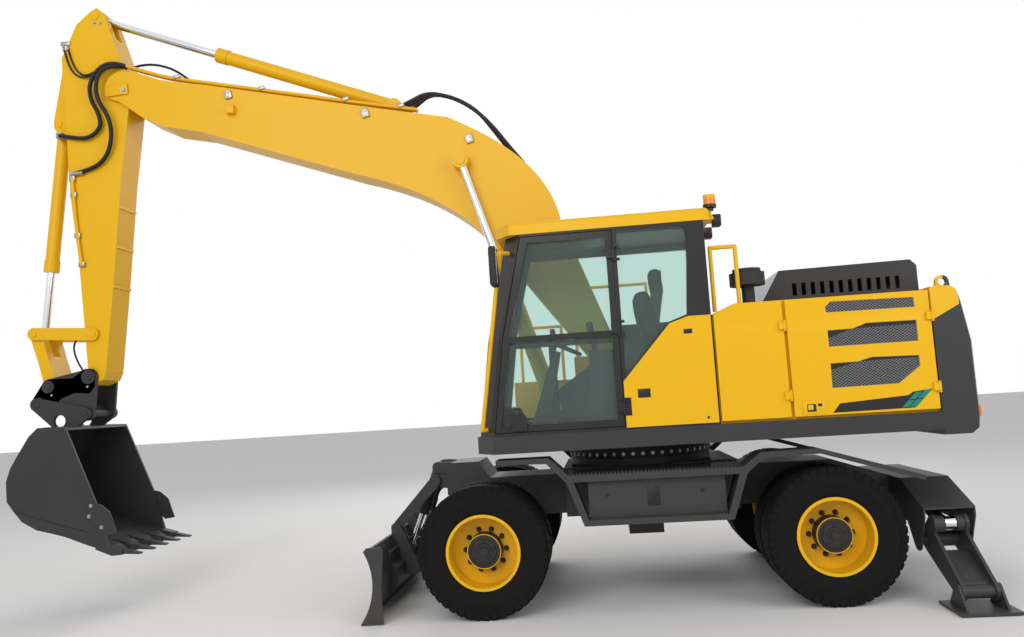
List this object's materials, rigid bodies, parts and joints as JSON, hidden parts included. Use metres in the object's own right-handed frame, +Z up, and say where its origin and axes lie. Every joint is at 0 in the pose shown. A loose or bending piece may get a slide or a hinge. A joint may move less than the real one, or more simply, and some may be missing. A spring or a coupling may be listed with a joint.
{
  "type": "wheeled excavator",
  "caption": "Wheeled excavator with twin tyres, dozer blade, rear outriggers, turning cab and engine house, and a raised boom with arm, quick hitch and bucket.",
  "frame": {"origin": "on the ground under the middle of the object's overall box", "axes": "+X towards the bucket, +Y to the cab side, +Z up"},
  "size_m": [8.7748, 3.312, 6.004],
  "materials": {
    "yellow": "semi-gloss paint",
    "dark": "satin paint",
    "black": "satin paint",
    "tyre": "worn rubber",
    "chrome": "polished",
    "glass": "tinted",
    "interior": "textured",
    "engine": "painted casting",
    "steel": "worn bare steel"
  },
  "bodies": {
    "undercarriage": {"chassis_frame": "dark", "swing_ring": "steel", "front_axle": "dark", "rear_axle": "dark", "side_steps": "dark"},
    "knuckle_left": {"knuckle_left": "dark"},
    "knuckle_right": {"knuckle_right": "dark"},
    "blade_arms": {"blade_arms": "dark"},
    "blade": {"blade": "dark"},
    "blade_links": {"blade_links": "dark"},
    "blade_barrels": {"blade_barrels": "dark"},
    "blade_rods": {"blade_rods": "chrome"},
    "upper": {"deck_frame": "dark", "cab_shell": "black", "cab_roof": "yellow", "cab_side_panel": "yellow", "cab_glass": "glass", "fixed_hinges": "black", "cab_interior": "interior", "engine_block": "engine", "body_panels": "yellow", "counterweight": "dark", "tanks": "yellow", "rails": "yellow", "mirrors": "black", "air_intake": "black"},
    "cab_door": {"cab_door": "black", "door_glass": "glass"},
    "engine_hood": {"engine_hood": "dark"},
    "left_front_door": {"left_front_door": "yellow"},
    "left_rear_door": {"left_rear_door": "yellow"},
    "right_door": {"right_door": "yellow"},
    "boom": {"boom": "yellow"},
    "boom_barrels": {"boom_barrels": "yellow"},
    "boom_rods": {"boom_rods": "chrome"},
    "arm": {"arm": "yellow"},
    "stick_barrel": {"stick_barrel": "yellow"},
    "stick_rod": {"stick_rod": "chrome"},
    "bucket_barrel": {"bucket_barrel": "yellow"},
    "bucket_rod": {"bucket_rod": "chrome"},
    "side_links": {"side_links": "yellow"},
    "bucket_link": {"bucket_link": "yellow"},
    "bucket": {"coupler": "dark", "bucket": "black"},
    "wheels_front_left": {"front_left_tyres": "tyre", "front_left_rims": "yellow"},
    "wheels_front_right": {"front_right_tyres": "tyre", "front_right_rims": "yellow"},
    "wheels_rear_left": {"rear_left_tyres": "tyre", "rear_left_rims": "yellow"},
    "wheels_rear_right": {"rear_right_tyres": "tyre", "rear_right_rims": "yellow"},
    "outrigger_leg_left": {"outrigger_leg_left": "dark"},
    "outrigger_pad_left": {"outrigger_pad_left": "dark"},
    "outrigger_barrel_left": {"outrigger_barrel_left": "dark"},
    "outrigger_rod_left": {"outrigger_rod_left": "chrome"},
    "outrigger_leg_right": {"outrigger_leg_right": "dark"},
    "outrigger_pad_right": {"outrigger_pad_right": "dark"},
    "outrigger_barrel_right": {"outrigger_barrel_right": "dark"},
    "outrigger_rod_right": {"outrigger_rod_right": "chrome"}
  },
  "joints": [
    {"name": "swing", "type": "hinge", "parent": "undercarriage", "child": "upper", "pos_m": [-1.562, 0, 1.255], "axis": [0, 0, 1], "continuous": true},
    {"name": "steer_left", "type": "hinge", "parent": "undercarriage", "child": "knuckle_left", "pos_m": [-0.212, 0.6, 0.53], "axis": [0, 0, 1], "range_deg": [-28, 28]},
    {"name": "steer_right", "type": "hinge", "parent": "undercarriage", "child": "knuckle_right", "pos_m": [-0.212, -0.6, 0.53], "axis": [0, 0, 1], "range_deg": [-28, 28]},
    {"name": "spin_front_left", "type": "hinge", "parent": "knuckle_left", "child": "wheels_front_left", "pos_m": [-0.212, 1.12, 0.53], "axis": [0, 1, 0], "continuous": true},
    {"name": "spin_front_right", "type": "hinge", "parent": "knuckle_right", "child": "wheels_front_right", "pos_m": [-0.212, -1.12, 0.53], "axis": [0, 1, 0], "continuous": true},
    {"name": "spin_rear_left", "type": "hinge", "parent": "undercarriage", "child": "wheels_rear_left", "pos_m": [-2.962, 1.12, 0.53], "axis": [0, 1, 0], "continuous": true},
    {"name": "spin_rear_right", "type": "hinge", "parent": "undercarriage", "child": "wheels_rear_right", "pos_m": [-2.962, -1.12, 0.53], "axis": [0, 1, 0], "continuous": true},
    {"name": "blade_lift", "type": "hinge", "parent": "undercarriage", "child": "blade_arms", "pos_m": [0.168, 0, 0.675], "axis": [0, -1, 0], "range_deg": [-12, 45]},
    {"name": "blade_tilt", "type": "hinge", "parent": "blade_arms", "child": "blade", "pos_m": [0.548, 0, 0.275], "axis": [0, -1, 0], "range_deg": [-45, 12]},
    {"name": "blade_link_turn", "type": "hinge", "parent": "undercarriage", "child": "blade_links", "pos_m": [0.32, 0, 1.04], "axis": [0, -1, 0], "range_deg": [-12, 45]},
    {"name": "blade_barrel_turn", "type": "hinge", "parent": "undercarriage", "child": "blade_barrels", "pos_m": [0.318, 0, 1.15], "axis": [0, -1, 0], "range_deg": [-9, 32]},
    {"name": "blade_rod_slide", "type": "slide", "parent": "blade_barrels", "child": "blade_rods", "axis": [0.3846, 0, -0.9231], "range_m": [-0.19, 0.052]},
    {"name": "outrigger_lift_left", "type": "hinge", "parent": "undercarriage", "child": "outrigger_leg_left", "pos_m": [-3.867, 0.88, 0.42], "axis": [1, 0, 0], "range_deg": [-12, 55]},
    {"name": "outrigger_pad_tilt_left", "type": "hinge", "parent": "outrigger_leg_left", "child": "outrigger_pad_left", "pos_m": [-3.867, 1.449, 0.13], "axis": [1, 0, 0], "range_deg": [-25, 30]},
    {"name": "outrigger_barrel_turn_left", "type": "hinge", "parent": "undercarriage", "child": "outrigger_barrel_left", "pos_m": [-3.867, 0.33, 0.7], "axis": [1, 0, 0], "range_deg": [-2, 6]},
    {"name": "outrigger_rod_slide_left", "type": "slide", "parent": "outrigger_barrel_left", "child": "outrigger_rod_left", "axis": [0, 0.9806, -0.1961], "range_m": [-0.183, 0.041]},
    {"name": "outrigger_lift_right", "type": "hinge", "parent": "undercarriage", "child": "outrigger_leg_right", "pos_m": [-3.867, -0.88, 0.42], "axis": [-1, 0, 0], "range_deg": [-12, 55]},
    {"name": "outrigger_pad_tilt_right", "type": "hinge", "parent": "outrigger_leg_right", "child": "outrigger_pad_right", "pos_m": [-3.867, -1.449, 0.13], "axis": [-1, 0, 0], "range_deg": [-25, 30]},
    {"name": "outrigger_barrel_turn_right", "type": "hinge", "parent": "undercarriage", "child": "outrigger_barrel_right", "pos_m": [-3.867, -0.33, 0.7], "axis": [-1, 0, 0], "range_deg": [-2, 6]},
    {"name": "outrigger_rod_slide_right", "type": "slide", "parent": "outrigger_barrel_right", "child": "outrigger_rod_right", "axis": [0, -0.9806, -0.1961], "range_m": [-0.183, 0.041]},
    {"name": "cab_door_swing", "type": "hinge", "parent": "upper", "child": "cab_door", "pos_m": [-1.415, 1.266, 2.25], "axis": [0, 0, 1], "range_deg": [0, 150]},
    {"name": "engine_hood_lift", "type": "hinge", "parent": "upper", "child": "engine_hood", "pos_m": [-3.94, 0, 2.428], "axis": [0, -1, 0], "range_deg": [0, 60]},
    {"name": "left_front_door_swing", "type": "hinge", "parent": "upper", "child": "left_front_door", "pos_m": [-2.711, 1.264, 1.9], "axis": [0, 0, 1], "range_deg": [0, 110]},
    {"name": "left_rear_door_swing", "type": "hinge", "parent": "upper", "child": "left_rear_door", "pos_m": [-3.828, 1.264, 1.9], "axis": [0, 0, 1], "range_deg": [0, 110]},
    {"name": "right_door_swing", "type": "hinge", "parent": "upper", "child": "right_door", "pos_m": [-3.828, -1.264, 1.9], "axis": [0, 0, -1], "range_deg": [0, 110]},
    {"name": "boom_lift", "type": "hinge", "parent": "upper", "child": "boom", "pos_m": [-1.362, 0, 2], "axis": [0, -1, 0], "range_deg": [-65, 25]},
    {"name": "boom_barrel_turn", "type": "hinge", "parent": "upper", "child": "boom_barrels", "pos_m": [-0.802, 0, 1.64], "axis": [0, -1, 0], "range_deg": [-67, 26]},
    {"name": "boom_rod_slide", "type": "slide", "parent": "boom_barrels", "child": "boom_rods", "axis": [0.2918, 0, 0.9565], "range_m": [-0.684, 0.264]},
    {"name": "arm_turn", "type": "hinge", "parent": "boom", "child": "arm", "pos_m": [3.398, 0, 5.11], "axis": [0, 1, 0], "range_deg": [-80, 25]},
    {"name": "stick_barrel_turn", "type": "hinge", "parent": "boom", "child": "stick_barrel", "pos_m": [0.582, 0, 4.705], "axis": [0, 1, 0], "range_deg": [-5, 2]},
    {"name": "stick_rod_slide", "type": "slide", "parent": "stick_barrel", "child": "stick_rod", "axis": [0.9284, 0, 0.3715], "range_m": [-1.026, 0.322]},
    {"name": "bucket_curl", "type": "hinge", "parent": "arm", "child": "bucket", "pos_m": [3.744, 0, 2.216], "axis": [0, 1, 0], "range_deg": [-60, 70]},
    {"name": "side_link_turn", "type": "hinge", "parent": "arm", "child": "side_links", "pos_m": [3.708, 0, 2.637], "axis": [0, 1, 0], "range_deg": [-42, 49]},
    {"name": "bucket_link_turn", "type": "hinge", "parent": "side_links", "child": "bucket_link", "pos_m": [4.326, 0, 2.681], "axis": [0, 1, 0], "range_deg": [-35, 30]},
    {"name": "bucket_barrel_turn", "type": "hinge", "parent": "arm", "child": "bucket_barrel", "pos_m": [4.078, 0, 4.83], "axis": [0, 1, 0], "range_deg": [-2, 2]},
    {"name": "bucket_rod_slide", "type": "slide", "parent": "bucket_barrel", "child": "bucket_rod", "axis": [0.1146, 0, -0.9934], "range_m": [-0.418, 0.488]}
  ],
  "couplings": [
    {"joint": "steer_right", "follows": "steer_left", "ratio": 1},
    {"joint": "blade_tilt", "follows": "blade_lift", "ratio": -1},
    {"joint": "blade_link_turn", "follows": "blade_lift", "ratio": 1},
    {"joint": "blade_barrel_turn", "follows": "blade_lift", "ratio": 0.694},
    {"joint": "blade_rod_slide", "follows": "blade_lift", "m_per_rad": -0.24064},
    {"joint": "outrigger_barrel_turn_left", "follows": "outrigger_lift_left", "ratio": 0.082},
    {"joint": "outrigger_rod_slide_left", "follows": "outrigger_lift_left", "m_per_rad": -0.18908},
    {"joint": "outrigger_barrel_turn_right", "follows": "outrigger_lift_right", "ratio": 0.082},
    {"joint": "outrigger_rod_slide_right", "follows": "outrigger_lift_right", "m_per_rad": -0.18908},
    {"joint": "boom_barrel_turn", "follows": "boom_lift", "ratio": 1.019},
    {"joint": "boom_rod_slide", "follows": "boom_lift", "m_per_rad": 0.60161},
    {"joint": "stick_barrel_turn", "follows": "arm_turn", "ratio": 0.055},
    {"joint": "stick_rod_slide", "follows": "arm_turn", "m_per_rad": 0.73339},
    {"joint": "side_link_turn", "follows": "bucket_curl", "ratio": 0.685},
    {"joint": "bucket_link_turn", "follows": "bucket_curl", "ratio": -0.485},
    {"joint": "bucket_barrel_turn", "follows": "bucket_curl", "ratio": 0.02},
    {"joint": "bucket_rod_slide", "follows": "bucket_curl", "m_per_rad": 0.39821}
  ]
}
